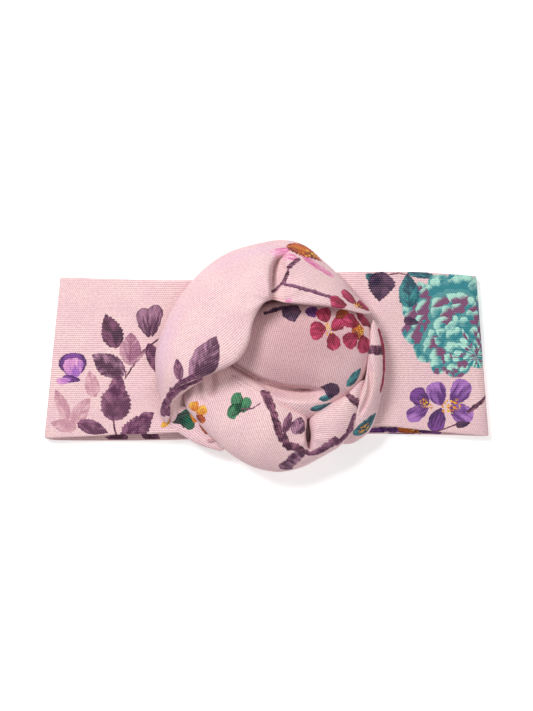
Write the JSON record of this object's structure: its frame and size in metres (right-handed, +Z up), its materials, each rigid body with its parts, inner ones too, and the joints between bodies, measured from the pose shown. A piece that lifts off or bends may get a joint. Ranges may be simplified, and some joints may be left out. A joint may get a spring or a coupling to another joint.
{
  "type": "knotted headband",
  "caption": "Wide soft headband of doubled floral cloth, a closed loop lying flat, with a large round turban knot of overlapping folds on its front.",
  "frame": {"origin": "under the middle of the object, on the surface that it lies on", "axes": "+Z up, the way the knot faces; X along the band, from fold to fold; +Y towards the band's upper edge"},
  "size_m": [0.23, 0.1185, 0.0468],
  "materials": {
    "printed_cloth": "matte printed knit",
    "thread": "spun polyester thread"
  },
  "bodies": {
    "root": {"band_outer_ply": "printed_cloth", "band_lining_ply": "printed_cloth", "back_seam_allowance": "printed_cloth", "back_seam_overlock_thread": "thread", "knot_inner_pass": "printed_cloth", "knot_upper_lobe": "printed_cloth", "knot_left_wrap": "printed_cloth", "knot_centre_dome": "printed_cloth", "knot_lower_loop": "printed_cloth", "knot_right_inner_fold": "printed_cloth", "knot_right_outer_loop": "printed_cloth", "knot_tail": "printed_cloth", "knot_core_roll": "printed_cloth", "tack_stitch_1": "thread", "tack_stitch_2": "thread", "tack_stitch_3": "thread", "tack_stitch_4": "thread"}
  },
  "joints": []
}
